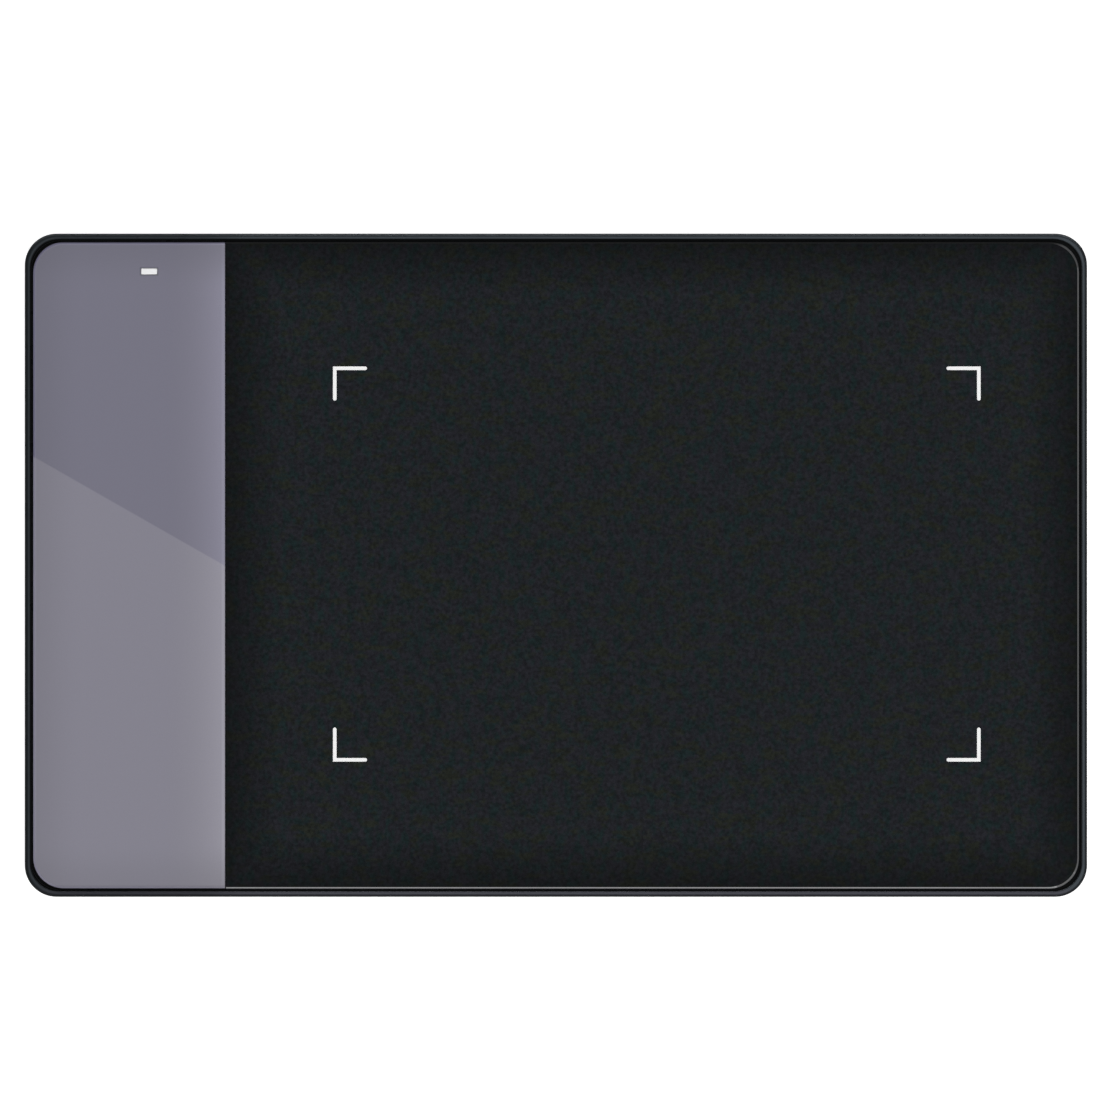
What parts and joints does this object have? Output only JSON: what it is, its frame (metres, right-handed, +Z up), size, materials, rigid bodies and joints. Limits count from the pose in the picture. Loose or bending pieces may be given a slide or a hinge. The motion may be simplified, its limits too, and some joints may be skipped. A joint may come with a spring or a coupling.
{
  "type": "pen drawing tablet",
  "caption": "Thin rounded slab tablet for drawing with a pen: matte black drawing surface with white corner marks, glossy grey side panel with a status light, USB socket.",
  "frame": {"origin": "on the desk, under the middle of the tablet", "axes": "+X to the right along the long side, +Y away from the user, +Z up out of the face"},
  "size_m": [0.1778, 0.111, 0.007],
  "materials": {
    "case_plastic": "satin moulded",
    "drawing_film": "fine matte texture",
    "white_ink": "screen print",
    "panel_gloss": "high gloss",
    "adhesive": "clear film",
    "light_guide": "diffusing",
    "circuit_board": "solder mask",
    "copper": "etched",
    "insulating_film": "polyimide",
    "shield_steel": "tinned",
    "foam": "closed cell foam",
    "led_resin": "clear resin",
    "chip_resin": "moulded resin",
    "can_metal": "plated",
    "plated_steel": "nickel plate",
    "black_nylon": "moulded",
    "gold": "gold plate",
    "ferrite": "sintered",
    "tantalum_resin": "moulded resin",
    "ceramic": "fired ceramic",
    "resistor_body": "glazed",
    "screw_steel": "zinc plate",
    "rubber": "matte"
  },
  "bodies": {
    "root": {"bottom_case": "case_plastic", "top_cover": "case_plastic", "drawing_sheet": "drawing_film", "sheet_adhesive": "adhesive", "active_area_marks": "white_ink", "side_panel": "panel_gloss", "panel_adhesive": "adhesive", "light_guide": "light_guide", "sensor_board": "circuit_board", "antenna_loops_x": "copper", "antenna_loops_y": "copper", "insulating_film": "insulating_film", "shield_plate": "shield_steel", "foam_pads": "foam", "status_led": "led_resin", "microcontroller": "chip_resin", "analog_switches": "chip_resin", "op_amps": "chip_resin", "voltage_regulator": "chip_resin", "crystal": "can_metal", "usb_shell": "plated_steel", "usb_insulator": "black_nylon", "usb_contacts": "gold", "esd_array": "chip_resin", "ferrite_bead": "ferrite", "tantalum_capacitors": "tantalum_resin", "ceramic_capacitors": "ceramic", "chip_resistors": "resistor_body", "case_screws": "screw_steel", "rubber_feet": "rubber"}
  },
  "joints": []
}
